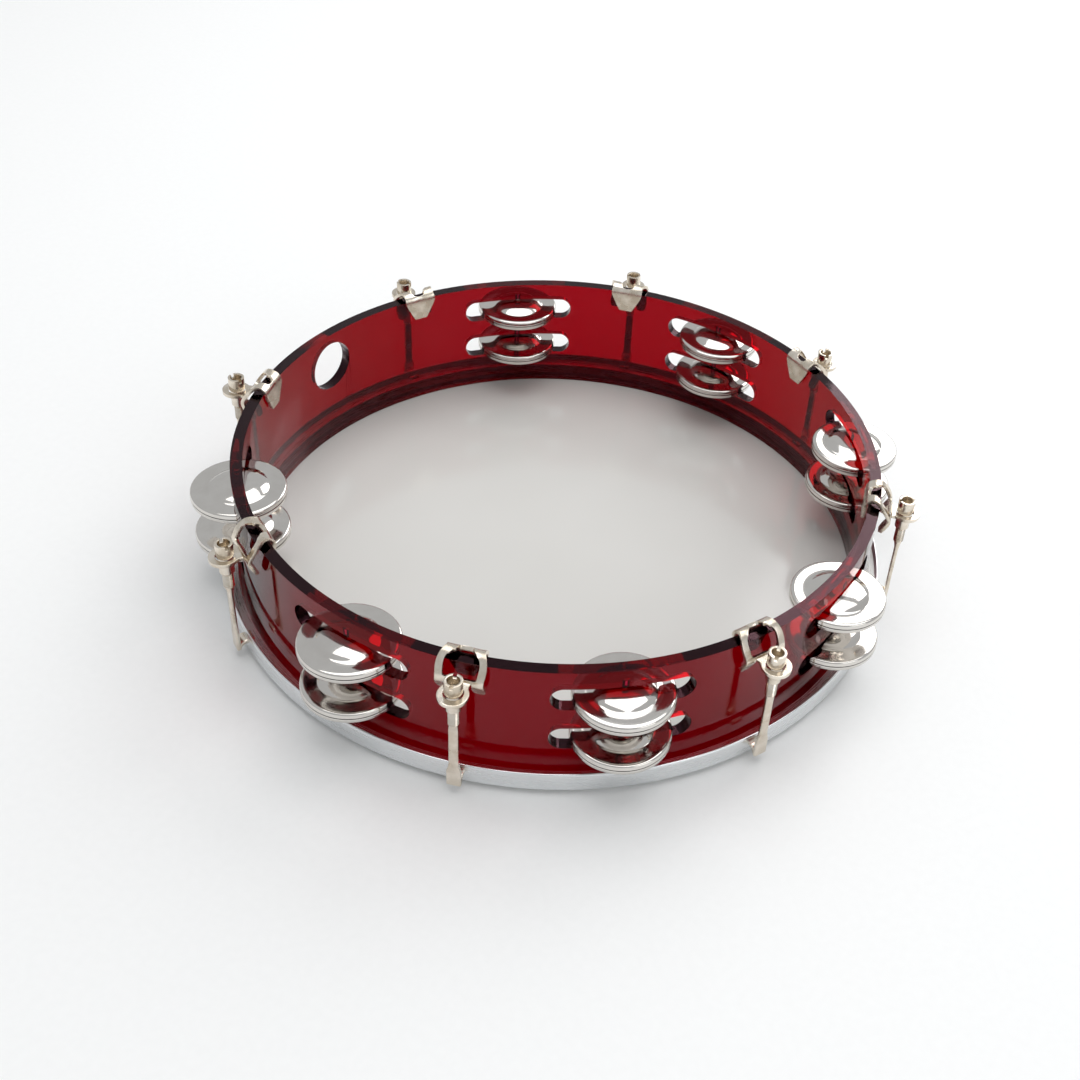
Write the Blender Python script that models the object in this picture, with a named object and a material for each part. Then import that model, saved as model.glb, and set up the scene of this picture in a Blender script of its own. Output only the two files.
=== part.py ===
"""Headed tambourine, 10 in across and 2 in deep, lying on its drumhead.

A clear acrylic ring carries two rows of jingles in seven of its eight bays and a finger hole in
the eighth. A clear-coated plastic film is stretched over its lower edge. The film is locked into an
aluminium flesh hoop, and eight tension assemblies pull the hoop up: a sheet-metal claw sits over
the ring's upper rim, a tube nut stands on the claw's ear, and a hook rod screwed into the nut
reaches down and under the hoop.

Frame: metres, +Z up along the ring's axis. The origin is the centre of the film's outer face, and
the finger hole opens towards -X. Bays sit at multiples of 45 degrees and claws halfway between.
"""
import math

import bpy
import bmesh
from mathutils import Matrix, Vector

MM = 0.001

# Ring shell
SHELL_RADIUS = 127.0 * MM
SHELL_WALL = 4.5 * MM
SHELL_DEPTH = 52.0 * MM
RING_SIDES = 72

# Stations round the ring
BAYS = 8
BAY_ANGLE = 2 * math.pi / BAYS
# The claws are set by hand: degrees by which each one misses the middle between its two bays
CLAW_TURNS = (-0.4, -0.2, -1.2, -0.3, -1.8, -2.3, -2.1, -0.4)
FINGER_BAY = 4
FINGER_HOLE_RADIUS = 11.0 * MM
FINGER_HOLE_HEIGHT = 37.3 * MM

# Jingle slots, two rows
ROW_HEIGHTS = {"low": 21.3 * MM, "high": 40.2 * MM}
SLOT_LENGTH = 50.0 * MM
SLOT_HEIGHT = 10.0 * MM
SLOT_ARC_STEPS = 6
PIN_RADIUS = 1.2 * MM
PIN_SIDES = 10
PIN_EMBED = 1.0 * MM

# Jingles: a thin spun disc with a raised centre, a flat brim and a turned-down lip
JINGLE_RADIUS = 18.0 * MM
JINGLE_HOLE_RADIUS = 1.9 * MM
JINGLE_HEIGHT = 4.2 * MM
JINGLE_SIDES = 16
JINGLE_PROFILE = [
    (JINGLE_RADIUS, 0.0),
    (JINGLE_RADIUS, 1.8 * MM),
    (12.8 * MM, 2.0 * MM),
    (10.0 * MM, 3.6 * MM),
    (JINGLE_HOLE_RADIUS, JINGLE_HEIGHT),
    (JINGLE_HOLE_RADIUS, JINGLE_HEIGHT - 0.9 * MM),
    (9.7 * MM, 2.7 * MM),
    (12.5 * MM, 1.1 * MM),
    (17.2 * MM, 0.9 * MM),
    (17.2 * MM, 0.0),
]

# Film and flesh hoop
GAP = 0.3 * MM
FILM_THICKNESS = 0.3 * MM
HOOP_OUTER_RADIUS = 133.4 * MM
HOOP_INNER_RADIUS = 128.2 * MM
HOOP_BOTTOM = 1.7 * MM
HOOP_HEIGHT = 8.0 * MM
GROOVE_INNER_RADIUS = 129.4 * MM
GROOVE_OUTER_RADIUS = 130.5 * MM
GROOVE_DEPTH = 3.5 * MM
HOOP_SHELF = 4.6 * MM
HOOP_LIP = 1.0 * MM
HOOP_EDGE_ROUND = 0.4 * MM
FILM_FLAT_RADIUS = SHELL_RADIUS + 0.6 * MM
FILM_COLLAR_CLEARANCE = 0.35 * MM
FILM_COLLAR_RISE = 1.0 * MM
FILM_COLLAR_DEPTH = GROOVE_DEPTH - 0.5 * MM

# Claw, tube nut and hook rod
SHEET = 1.4 * MM
ROD_AXIS_RADIUS = 137.0 * MM
ROD_RADIUS = 2.0 * MM
EAR_TOP = 48.4 * MM
EAR_RADIUS = 5.0 * MM
EAR_HOLE_RADIUS = 3.15 * MM
EAR_SIDES = 12
CLAW_HALF_WIDTH = 8.4 * MM
WINDOW_HALF_WIDTH = 5.6 * MM
EAR_ROOT_HALF_WIDTH = 3.9 * MM
NECK_HALF_WIDTH = 3.4 * MM
NECK_LENGTH = 0.9 * MM
TONGUE_ROWS = [(-8.8 * MM, 2.9 * MM), (-4.5 * MM, 5.2 * MM)]
SHOULDER_HALF_WIDTH = 7.4 * MM
CLAW_ARCH = [
    (1.6 * MM, 2.6 * MM),
    (3.6 * MM, 3.0 * MM),
    (6.0 * MM, 2.1 * MM),
    (8.7 * MM, -0.9 * MM),
]
CLAW_LEG_OFFSET = 5.1 * MM
FOOT_INNER = 4.9 * MM
FOOT_TAPER = 0.7 * MM
FOOT_ROWS = [(3.6 * MM, -2.6 * MM), (1.6 * MM, -5.2 * MM)]
NUT_HEAD_RADIUS = 3.2 * MM
NUT_SLEEVE_RADIUS = 2.75 * MM
NUT_BORE_RADIUS = 2.3 * MM
NUT_HEAD_HEIGHT = 5.4 * MM
NUT_SLEEVE_LENGTH = 7.7 * MM
NUT_SIDES = 12
ROD_TOP = 50.5 * MM
ROD_THREAD_END = 35.0 * MM
STRAP_THICKNESS = 1.6 * MM
STRAP_HALF_WIDTH = 1.7 * MM
HOOK_HALF_WIDTH = 2.6 * MM
STRAP_STATIONS = [
    (32.5 * MM, STRAP_HALF_WIDTH),
    (13.0 * MM, STRAP_HALF_WIDTH),
    (9.5 * MM, HOOK_HALF_WIDTH),
    (5.0 * MM, HOOK_HALF_WIDTH),
]
HOOK_BEND_STEPS = 3
HOOK_BEND_RADIUS = 3.0 * MM
HOOK_TIP_RADIUS = 130.9 * MM

SHELL_BOTTOM = FILM_THICKNESS + GAP
RIM = SHELL_BOTTOM + SHELL_DEPTH
SHELL_INNER_RADIUS = SHELL_RADIUS - SHELL_WALL
WALL_MIDDLE_RADIUS = SHELL_RADIUS - SHELL_WALL / 2


def clear_scene():
    """Remove the objects of the open file, so that the model starts from nothing."""
    for item in list(bpy.data.objects):
        bpy.data.objects.remove(item, do_unlink=True)


def make_material(name, color, roughness, metallic, alpha=1.0):
    """A Principled material with a plain colour."""
    material = bpy.data.materials.new(name)
    material.use_nodes = True
    shader = material.node_tree.nodes["Principled BSDF"]
    shader.inputs["Base Color"].default_value = (*color, 1.0)
    shader.inputs["Roughness"].default_value = roughness
    shader.inputs["Metallic"].default_value = metallic
    shader.inputs["Alpha"].default_value = alpha
    return material


def add_object(name, bm, material, location=(0, 0, 0), turn=0.0):
    """Turn a bmesh into a smooth-shaded object at a place, turned about the vertical."""
    bmesh.ops.remove_doubles(bm, verts=bm.verts, dist=1e-6)
    bmesh.ops.recalc_face_normals(bm, faces=bm.faces)
    mesh = bpy.data.meshes.new(name)
    bm.to_mesh(mesh)
    bm.free()
    if material:
        mesh.materials.append(material)
    mesh.shade_smooth()
    mesh.set_sharp_from_angle(angle=math.radians(35))
    return place_mesh(name, mesh, location, turn)


def place_mesh(name, mesh, location, turn):
    """Link an object that uses a mesh, so that copies of a piece share one."""
    item = bpy.data.objects.new(name, mesh)
    item.location = location
    item.rotation_euler = (0, 0, turn)
    bpy.context.collection.objects.link(item)
    return item


def turned(profile, sides):
    """Spin a closed profile of (radius, height) points about the vertical axis."""
    bm = bmesh.new()
    points = [bm.verts.new((radius, 0, height)) for radius, height in profile]
    edges = [bm.edges.new((points[i - 1], points[i])) for i in range(len(points))]
    bmesh.ops.spin(bm, geom=points + edges, cent=(0, 0, 0), axis=(0, 0, 1),
                   angle=2 * math.pi, steps=sides, use_duplicate=False)
    return bm


def on_ring(radius, angle, height=0.0):
    """A point at a radius and an angle round the ring."""
    return Vector((radius * math.cos(angle), radius * math.sin(angle), height))


def prism(bm, outline, depth):
    """Extrude a flat outline in the YZ plane along +X, from x = 0."""
    face = bm.faces.new([bm.verts.new((0, y, z)) for y, z in outline])
    result = bmesh.ops.extrude_face_region(bm, geom=[face])
    moved = [v for v in result["geom"] if isinstance(v, bmesh.types.BMVert)]
    bmesh.ops.translate(bm, verts=moved, vec=(depth, 0, 0))
    return list(face.verts) + moved


def obround(length, height, steps):
    """Outline of a slot with round ends, centred on the origin."""
    radius = height / 2
    straight = length / 2 - radius
    points = []
    for side in (1, -1):
        for i in range(steps + 1):
            angle = math.pi * i / steps - math.pi / 2
            points.append((side * (straight + radius * math.cos(angle)),
                           side * radius * math.sin(angle)))
    return points


def circle(radius, steps):
    """Outline of a round hole, centred on the origin."""
    angles = [2 * math.pi * i / steps for i in range(steps)]
    return [(radius * math.cos(a), radius * math.sin(a)) for a in angles]


def claw_angle(i):
    """Where the claw, hook and nut of a station stand round the ring."""
    return (i + 0.5) * BAY_ANGLE + math.radians(CLAW_TURNS[i])


def jingle_bays():
    """Numbers of the bays that hold jingles: every bay but the finger hole's."""
    return [bay for bay in range(BAYS) if bay != FINGER_BAY]


def as_cutter(item):
    """Keep a helper solid out of the finished object."""
    item.hide_render = True
    item.display_type = "WIRE"
    return item


def add_boolean(item, tool, operation):
    """Cut or join with another solid."""
    modifier = item.modifiers.new(tool.name, "BOOLEAN")
    modifier.operation = operation
    modifier.solver = "EXACT"
    modifier.object = tool


def make_shell(material):
    """The acrylic ring, slotted for the jingles, with its pressed-in pins and finger hole."""
    shell = add_object("shell", turned([
        (SHELL_RADIUS, RIM),
        (SHELL_RADIUS, SHELL_BOTTOM),
        (SHELL_INNER_RADIUS, SHELL_BOTTOM),
        (SHELL_INNER_RADIUS, RIM),
    ], RING_SIDES), material)

    cutters = bmesh.new()
    reach = 3 * SHELL_WALL
    start = WALL_MIDDLE_RADIUS - reach / 2
    for bay in jingle_bays():
        for height in ROW_HEIGHTS.values():
            verts = prism(cutters, obround(SLOT_LENGTH, SLOT_HEIGHT, SLOT_ARC_STEPS), reach)
            bmesh.ops.translate(cutters, verts=verts, vec=(start, 0, height))
            bmesh.ops.rotate(cutters, verts=verts, cent=(0, 0, 0),
                             matrix=Matrix.Rotation(bay * BAY_ANGLE, 3, "Z"))
    verts = prism(cutters, circle(FINGER_HOLE_RADIUS, 24), reach)
    bmesh.ops.translate(cutters, verts=verts, vec=(start, 0, FINGER_HOLE_HEIGHT))
    bmesh.ops.rotate(cutters, verts=verts, cent=(0, 0, 0),
                     matrix=Matrix.Rotation(FINGER_BAY * BAY_ANGLE, 3, "Z"))
    cutter = as_cutter(add_object("slot_cutter", cutters, None))
    add_boolean(shell, cutter, "DIFFERENCE")

    pins = bmesh.new()
    length = SLOT_HEIGHT + 2 * PIN_EMBED
    for bay in jingle_bays():
        for height in ROW_HEIGHTS.values():
            centre = on_ring(WALL_MIDDLE_RADIUS, bay * BAY_ANGLE, height)
            bmesh.ops.create_cone(pins, cap_ends=True, segments=PIN_SIDES, radius1=PIN_RADIUS,
                                  radius2=PIN_RADIUS, depth=length,
                                  matrix=Matrix.Translation(centre))
    pin_guide = as_cutter(add_object("pin_guide", pins, None))
    add_boolean(shell, pin_guide, "UNION")
    return shell


def make_film(material):
    """The drumhead: a flat film whose edge turns up into the hoop's groove."""
    wall_inner = GROOVE_INNER_RADIUS + FILM_COLLAR_CLEARANCE
    wall_outer = wall_inner + FILM_THICKNESS
    edge_top = HOOP_BOTTOM + FILM_COLLAR_DEPTH
    bm = bmesh.new()
    rings = []
    for radius, height in [
        (FILM_FLAT_RADIUS, FILM_THICKNESS),
        (wall_inner, FILM_THICKNESS + FILM_COLLAR_RISE),
        (wall_inner, edge_top),
        (wall_outer, edge_top),
        (wall_outer, FILM_COLLAR_RISE),
        (FILM_FLAT_RADIUS, 0.0),
    ]:
        angles = [2 * math.pi * i / RING_SIDES for i in range(RING_SIDES)]
        rings.append([bm.verts.new(on_ring(radius, a, height)) for a in angles])
    for upper, lower in zip(rings, rings[1:]):
        for i in range(RING_SIDES):
            bm.faces.new((upper[i - 1], upper[i], lower[i], lower[i - 1]))
    bm.faces.new(rings[0])
    bm.faces.new(rings[-1])
    return add_object("head_film", bm, material)


def make_hoop(material):
    """The aluminium flesh hoop: a channel over the film's collar, with a tall outer lip."""
    top = HOOP_BOTTOM + HOOP_HEIGHT
    shelf = HOOP_BOTTOM + HOOP_SHELF
    groove_top = HOOP_BOTTOM + GROOVE_DEPTH
    edge = HOOP_EDGE_ROUND
    return add_object("head_hoop", turned([
        (HOOP_OUTER_RADIUS - edge, top),
        (HOOP_OUTER_RADIUS, top - edge),
        (HOOP_OUTER_RADIUS, HOOP_BOTTOM + edge),
        (HOOP_OUTER_RADIUS - edge, HOOP_BOTTOM),
        (GROOVE_OUTER_RADIUS, HOOP_BOTTOM),
        (GROOVE_OUTER_RADIUS, groove_top),
        (GROOVE_INNER_RADIUS, groove_top),
        (GROOVE_INNER_RADIUS, HOOP_BOTTOM),
        (HOOP_INNER_RADIUS, HOOP_BOTTOM),
        (HOOP_INNER_RADIUS, shelf),
        (HOOP_OUTER_RADIUS - HOOP_LIP, shelf),
        (HOOP_OUTER_RADIUS - HOOP_LIP, top),
    ], RING_SIDES), material)


def claw_mesh():
    """Middle surface of the claw, folded from sheet, with the shell's axis at x = 0.

    x is the radius, y runs along the rim and z is up. Each row of points crosses the sheet. The
    tongue lies on the ring's inner wall, two arms arch over the rim either side of a window, a
    cross bar joins them outside, and below it the ear bends out and the two feet carry on down.
    """
    bm = bmesh.new()
    tongue_radius = SHELL_INNER_RADIUS - 2 * GAP - SHEET / 2
    leg_radius = SHELL_RADIUS + CLAW_LEG_OFFSET
    ear_height = EAR_TOP - SHEET / 2

    def row(radius, height, widths):
        return [bm.verts.new((radius, y, height)) for y in widths]

    def strip(first, second):
        for i in range(len(first) - 1):
            bm.faces.new((first[i], first[i + 1], second[i + 1], second[i]))

    full = (-CLAW_HALF_WIDTH, -WINDOW_HALF_WIDTH, WINDOW_HALF_WIDTH, CLAW_HALF_WIDTH)
    tip, waist = [row(tongue_radius, RIM + up, (-half, half)) for up, half in TONGUE_ROWS]
    shoulder = row(tongue_radius, RIM + 0.2 * MM, (-SHOULDER_HALF_WIDTH, -WINDOW_HALF_WIDTH,
                                                   WINDOW_HALF_WIDTH, SHOULDER_HALF_WIDTH))
    strip(tip, waist)
    bm.faces.new((waist[0], waist[1], *reversed(shoulder)))
    window_end = row(tongue_radius + 2 * GAP, RIM + SHEET + 0.1 * MM, full)
    strip(shoulder, window_end)

    last = window_end
    for out, up in CLAW_ARCH:
        this = row(tongue_radius + out, RIM + up, full)
        strip(last[:2], this[:2])
        strip(last[2:], this[2:])
        last = this
    bar_top = row(leg_radius, ear_height + 1.5 * MM, full)
    strip(last[:2], bar_top[:2])
    strip(last[2:], bar_top[2:])

    bar = row(leg_radius, ear_height,
              (-CLAW_HALF_WIDTH, -FOOT_INNER, -EAR_ROOT_HALF_WIDTH, EAR_ROOT_HALF_WIDTH,
               FOOT_INNER, CLAW_HALF_WIDTH))
    bm.faces.new((bar_top[0], bar_top[1], bar[2], bar[1], bar[0]))
    bm.faces.new((bar_top[1], bar_top[2], bar[3], bar[2]))
    bm.faces.new((bar_top[2], bar_top[3], bar[5], bar[4], bar[3]))

    for inner, outer, side in ((bar[1], bar[0], -1), (bar[4], bar[5], 1)):
        edges = [side * FOOT_INNER, side * CLAW_HALF_WIDTH]
        last = [inner, outer]
        for out, up in FOOT_ROWS:
            this = row(SHELL_RADIUS + out, ear_height + up, edges)
            strip(last, this)
            last = this
            edges = [edges[0] + side * FOOT_TAPER, edges[1] - side * FOOT_TAPER]

    step = 2 * math.pi / EAR_SIDES
    centre = Vector((ROD_AXIS_RADIUS, 0, ear_height))
    hole = [bm.verts.new(centre + on_ring(EAR_HOLE_RADIUS, i * step)) for i in range(EAR_SIDES)]
    lobe = {i: bm.verts.new(centre + on_ring(EAR_RADIUS, i * step)) for i in range(-4, 5)}
    neck = row(leg_radius + NECK_LENGTH, ear_height, (-NECK_HALF_WIDTH, NECK_HALF_WIDTH))
    for i in range(-4, 4):
        bm.faces.new((lobe[i], lobe[i + 1], hole[(i + 1) % EAR_SIDES], hole[i % EAR_SIDES]))
    bm.faces.new((bar[2], bar[3], neck[1], neck[0]))
    bm.faces.new((neck[0], neck[1], hole[5], hole[6], hole[7]))
    bm.faces.new((neck[1], lobe[4], hole[4], hole[5]))
    bm.faces.new((neck[0], hole[7], hole[8], lobe[-4]))
    return bm


def make_claws(material):
    """Eight claws, one between each pair of bays."""
    first = add_object("claw_1", claw_mesh(), material, turn=claw_angle(0))
    claws = [first]
    for i in range(1, BAYS):
        claws.append(place_mesh(f"claw_{i + 1}", first.data, (0, 0, 0), claw_angle(i)))
    for claw in claws:
        solidify = claw.modifiers.new("sheet", "SOLIDIFY")
        solidify.thickness = SHEET
        solidify.offset = 0.0
        solidify.use_even_offset = True
    return claws


def loft(bm, sections):
    """Skin a row of sections that all have the same number of points, and cap both ends."""
    rings = [[bm.verts.new(point) for point in section] for section in sections]
    for near, far in zip(rings, rings[1:]):
        for i in range(len(near)):
            bm.faces.new((near[i - 1], near[i], far[i], far[i - 1]))
    bm.faces.new(rings[0])
    bm.faces.new(rings[-1])


def rod_section(radial, width, centre, lean):
    """Eight points round a rod or a strap, square to a path that leans from the vertical."""
    points = []
    for i in range(8):
        angle = math.pi / 4 * i + math.pi / 8
        across = width * math.sin(angle)
        through = radial * math.cos(angle)
        points.append((centre[0] + through * math.cos(lean), across,
                       centre[1] + through * math.sin(lean)))
    return points


def strap_section(radial, width, centre, lean):
    """Eight points round a flat strap: its four corners and the middles of its sides."""
    points = []
    for through, across in ((1, 0.5), (0.5, 1), (-0.5, 1), (-1, 0.5),
                            (-1, -0.5), (-0.5, -1), (0.5, -1), (1, -0.5)):
        points.append((centre[0] + radial * through * math.cos(lean), width * across,
                       centre[1] + radial * through * math.sin(lean)))
    return points


def hook_mesh():
    """Hook rod about its own axis: round at the top, a flat strap below, and the hook's foot."""
    half = STRAP_THICKNESS / 2
    foot_level = HOOP_BOTTOM - GAP - half
    bend_centre = foot_level + HOOK_BEND_RADIUS
    sections = []
    for height in (ROD_TOP, ROD_THREAD_END):
        sections.append(rod_section(ROD_RADIUS, ROD_RADIUS, (0, height), 0))
    for height, width in STRAP_STATIONS:
        sections.append(strap_section(half, width, (0, height), 0))
    for i in range(1, HOOK_BEND_STEPS + 1):
        angle = math.pi / 2 * i / HOOK_BEND_STEPS
        centre = (HOOK_BEND_RADIUS * (math.cos(angle) - 1),
                  bend_centre - HOOK_BEND_RADIUS * math.sin(angle))
        sections.append(strap_section(half, HOOK_HALF_WIDTH, centre, -angle))
    tip = HOOK_TIP_RADIUS - ROD_AXIS_RADIUS
    sections.append(strap_section(half, HOOK_HALF_WIDTH, (tip, foot_level), -math.pi / 2))
    bm = bmesh.new()
    loft(bm, sections)
    return bm


def nut_mesh():
    """Tube nut about its own axis: a head above the ear and a sleeve through its hole."""
    seat = EAR_TOP + GAP
    head_top = seat + NUT_HEAD_HEIGHT
    sleeve_end = seat - NUT_SLEEVE_LENGTH
    return turned([
        (NUT_HEAD_RADIUS, head_top),
        (NUT_HEAD_RADIUS, seat),
        (NUT_SLEEVE_RADIUS, seat),
        (NUT_SLEEVE_RADIUS, sleeve_end),
        (NUT_BORE_RADIUS, sleeve_end),
        (NUT_BORE_RADIUS, head_top),
    ], NUT_SIDES)


def make_tension_rods(material):
    """A hook rod and a tube nut for each claw, standing on the rod's axis."""
    hook_data = None
    nut_data = None
    for i in range(BAYS):
        angle = claw_angle(i)
        axis = on_ring(ROD_AXIS_RADIUS, angle)
        if hook_data is None:
            hook_data = add_object(f"hook_rod_{i + 1}", hook_mesh(), material, axis, angle).data
            nut_data = add_object(f"tube_nut_{i + 1}", nut_mesh(), material, axis, angle).data
        else:
            place_mesh(f"hook_rod_{i + 1}", hook_data, axis, angle)
            place_mesh(f"tube_nut_{i + 1}", nut_data, axis, angle)


def jingle_mesh(up):
    """A jingle with its rim at z = 0 and its raised centre pointing up (1) or down (-1)."""
    return turned([(radius, up * height) for radius, height in JINGLE_PROFILE], JINGLE_SIDES)


def make_jingles(material):
    """Two jingles in each slot, rim to rim, the lower one resting on the slot's floor."""
    shared = {}
    for bay in jingle_bays():
        angle = bay * BAY_ANGLE
        for row, height in ROW_HEIGHTS.items():
            floor = height - SLOT_HEIGHT / 2
            rims = {
                "lower": floor + GAP + JINGLE_HEIGHT,
                "upper": floor + 2 * GAP + JINGLE_HEIGHT,
            }
            for half, rim in rims.items():
                name = f"jingle_{bay + 1}_{row}_{half}"
                centre = on_ring(WALL_MIDDLE_RADIUS, angle, rim)
                if half in shared:
                    place_mesh(name, shared[half], centre, angle)
                else:
                    up = 1 if half == "upper" else -1
                    shared[half] = add_object(name, jingle_mesh(up), material, centre, angle).data


def main():
    clear_scene()
    acrylic = make_material("ruby_acrylic", (0.16, 0.012, 0.022), 0.08, 0.0, 0.75)
    film = make_material("milky_film", (0.78, 0.78, 0.75), 0.18, 0.0)
    aluminium = make_material("aluminium", (0.80, 0.81, 0.82), 0.25, 1.0)
    nickel = make_material("nickel_plate", (0.72, 0.68, 0.62), 0.22, 1.0)
    jingle_steel = make_material("jingle_nickel", (0.80, 0.79, 0.77), 0.06, 1.0)
    make_shell(acrylic)
    make_film(film)
    make_hoop(aluminium)
    make_claws(nickel)
    make_tension_rods(nickel)
    make_jingles(jingle_steel)


main()
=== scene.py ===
# %% [markdown]
# # A headed tambourine, lying on its drumhead
#
# A clear ruby ring carries pairs of spun jingles on steel pins. A milky film is stretched over its
# lower edge by an aluminium hoop, which eight hooks, tube nuts and claws pull up. This lesson makes
# each piece at its real size, in metres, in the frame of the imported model: the origin is the middle
# of the film's outer face and +Z points from the film to the open rim.

# %% Load the frame
import math

import bmesh
import bpy
from mathutils import Matrix, Vector


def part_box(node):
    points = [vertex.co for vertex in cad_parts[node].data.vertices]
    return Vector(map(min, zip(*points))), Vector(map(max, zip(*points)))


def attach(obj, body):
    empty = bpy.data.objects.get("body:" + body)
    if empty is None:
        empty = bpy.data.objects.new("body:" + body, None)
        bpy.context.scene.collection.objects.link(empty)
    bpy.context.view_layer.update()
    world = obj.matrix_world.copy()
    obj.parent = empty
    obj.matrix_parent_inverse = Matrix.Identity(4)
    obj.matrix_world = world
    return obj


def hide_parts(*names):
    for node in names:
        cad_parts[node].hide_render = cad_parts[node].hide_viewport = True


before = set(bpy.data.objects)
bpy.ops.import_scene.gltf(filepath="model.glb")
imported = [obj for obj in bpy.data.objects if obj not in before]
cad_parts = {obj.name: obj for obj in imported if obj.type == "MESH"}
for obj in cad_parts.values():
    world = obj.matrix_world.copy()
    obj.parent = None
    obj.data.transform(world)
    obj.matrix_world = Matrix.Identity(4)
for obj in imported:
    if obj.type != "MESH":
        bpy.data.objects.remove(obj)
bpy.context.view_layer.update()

MM = 0.001
NEAR = 0.02 * MM

# %% [markdown]
# ## Measures that the pieces share
#
# The ring is a 10 inch (254 mm) drum. Eight bays sit every 45 degrees; seven hold jingles and the
# fifth has the finger hole. The claws stand about halfway between the bays: they are fitted by
# hand, so each misses its place by up to 2.3 degrees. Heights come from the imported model, so that
# the new pieces land exactly where its solids are.

# %% Shared measures
RING_RADIUS = 127.0 * MM
RING_WALL = 4.5 * MM
RING_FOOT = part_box("shell")[0][2]
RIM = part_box("shell")[1][2]
WALL_MIDDLE = RING_RADIUS - RING_WALL / 2
BAYS = 8
BAY_ANGLE = 2 * math.pi / BAYS
FINGER_BAY = 5
JINGLE_BAYS = [bay for bay in range(1, BAYS + 1) if bay != FINGER_BAY]
ROWS = {"low": 21.3 * MM, "high": 40.2 * MM}
CLAW_TURNS = (-0.4, -0.2, -1.2, -0.3, -1.8, -2.3, -2.1, -0.4)
STATIONS = [(i + 0.5) * BAY_ANGLE + math.radians(CLAW_TURNS[i]) for i in range(BAYS)]
ROD_AXIS = 137.0 * MM
EAR_TOP = 48.4 * MM
GAP = 0.3 * MM
print(f"ring from {RING_FOOT / MM:.1f} to {RIM / MM:.1f} mm")

# %% [markdown]
# ## Helpers for working as by hand
#
# Operators act on everything that is selected, so each piece starts with nothing selected. `pick`
# selects the parts of the open mesh whose centre passes a test, which is what a maker does with the
# mouse. `settle` puts an object's place into its mesh, so every finished piece sits at the origin.

# %% Helpers
def clear_selection():
    """Leave edit mode and deselect everything."""
    if bpy.context.object and bpy.context.object.mode != "OBJECT":
        bpy.ops.object.mode_set(mode="OBJECT")
    bpy.ops.object.select_all(action="DESELECT")


def only(piece):
    """Make one piece the selected and active object."""
    clear_selection()
    piece.select_set(True)
    bpy.context.view_layer.objects.active = piece


def named(name):
    """Name the primitive that was just added."""
    piece = bpy.context.object
    piece.name = name
    piece.data.name = name
    return piece


def middle(part):
    """The centre of a vertex, edge or face."""
    if isinstance(part, bmesh.types.BMVert):
        return part.co
    return sum((v.co for v in part.verts), Vector()) / len(part.verts)


def pick(piece, kind, test):
    """In edit mode, select the vertices, edges or faces whose centre passes a test."""
    bpy.ops.mesh.select_mode(type=kind)
    bpy.ops.mesh.select_all(action="DESELECT")
    bm = bmesh.from_edit_mesh(piece.data)
    parts = {"VERT": bm.verts, "EDGE": bm.edges, "FACE": bm.faces}[kind]
    chosen = [part for part in parts if test(middle(part))]
    for part in chosen:
        part.select_set(True)
    bm.select_flush_mode()
    bmesh.update_edit_mesh(piece.data)
    return len(chosen)


def pick_lengthwise(piece):
    """In edit mode, select the edges that run along X."""
    bpy.ops.mesh.select_mode(type="EDGE")
    bpy.ops.mesh.select_all(action="DESELECT")
    bm = bmesh.from_edit_mesh(piece.data)
    for edge in bm.edges:
        edge.select_set(abs(edge.verts[0].co.x - edge.verts[1].co.x) > 1 * MM)
    bmesh.update_edit_mesh(piece.data)


def settle(piece):
    """Put the object's place, turn and size into its mesh."""
    only(piece)
    bpy.ops.object.transform_apply(location=True, rotation=True, scale=True)


def apply_modifier(piece, kind, **settings):
    """Add one modifier with its settings and apply it."""
    only(piece)
    modifier = piece.modifiers.new(kind, kind)
    for key, value in settings.items():
        setattr(modifier, key, value)
    bpy.ops.object.modifier_apply(modifier=modifier.name)


def soften(piece, width, segments=2, angle=35):
    """Round the sharp edges of a piece and shade it smooth."""
    apply_modifier(piece, "BEVEL", width=width, segments=segments, limit_method="ANGLE",
                   angle_limit=math.radians(angle), harden_normals=False)
    only(piece)
    bpy.ops.object.shade_smooth_by_angle(angle=math.radians(angle))


def tidy_shell(piece):
    """Merge doubles and point all faces outwards."""
    only(piece)
    bpy.ops.object.mode_set(mode="EDIT")
    bpy.ops.mesh.select_all(action="SELECT")
    bpy.ops.mesh.remove_doubles(threshold=0.002 * MM)
    bpy.ops.mesh.normals_make_consistent(inside=False)
    bpy.ops.object.mode_set(mode="OBJECT")


def lathe(name, profile, steps):
    """Shape a wire circle into a closed profile of (radius, height) and spin it about Z."""
    clear_selection()
    bpy.ops.mesh.primitive_circle_add(vertices=len(profile), radius=1 * MM)
    piece = named(name)
    for vertex, (radius, height) in zip(piece.data.vertices, profile):
        vertex.co = (radius, 0, height)
    bpy.ops.object.mode_set(mode="EDIT")
    bpy.ops.mesh.select_all(action="SELECT")
    bpy.ops.mesh.spin(steps=steps, angle=2 * math.pi, center=(0, 0, 0), axis=(0, 0, 1))
    bpy.ops.object.mode_set(mode="OBJECT")
    tidy_shell(piece)
    return piece


def remember_place(piece):
    """Keep each point's place on the unplaced piece, so that its finish turns along with it."""
    kept = piece.data.attributes.new("local", "FLOAT_VECTOR", "POINT")
    kept.data.foreach_set("vector", [c for v in piece.data.vertices for c in v.co])


def place_copy(piece, name, radius, angle, height=0.0):
    """Copy a finished piece with its own mesh, move it outwards and turn it round the ring."""
    twin = bpy.data.objects.new(name, piece.data.copy())
    twin.data.name = name
    bpy.context.collection.objects.link(twin)
    turn = Matrix.Rotation(angle, 4, "Z")
    twin.data.transform(turn @ Matrix.Translation((radius, 0, height)))
    return twin


def drop(piece):
    """Remove a pattern piece once its copies are placed."""
    bpy.data.objects.remove(piece, do_unlink=True)


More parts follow.
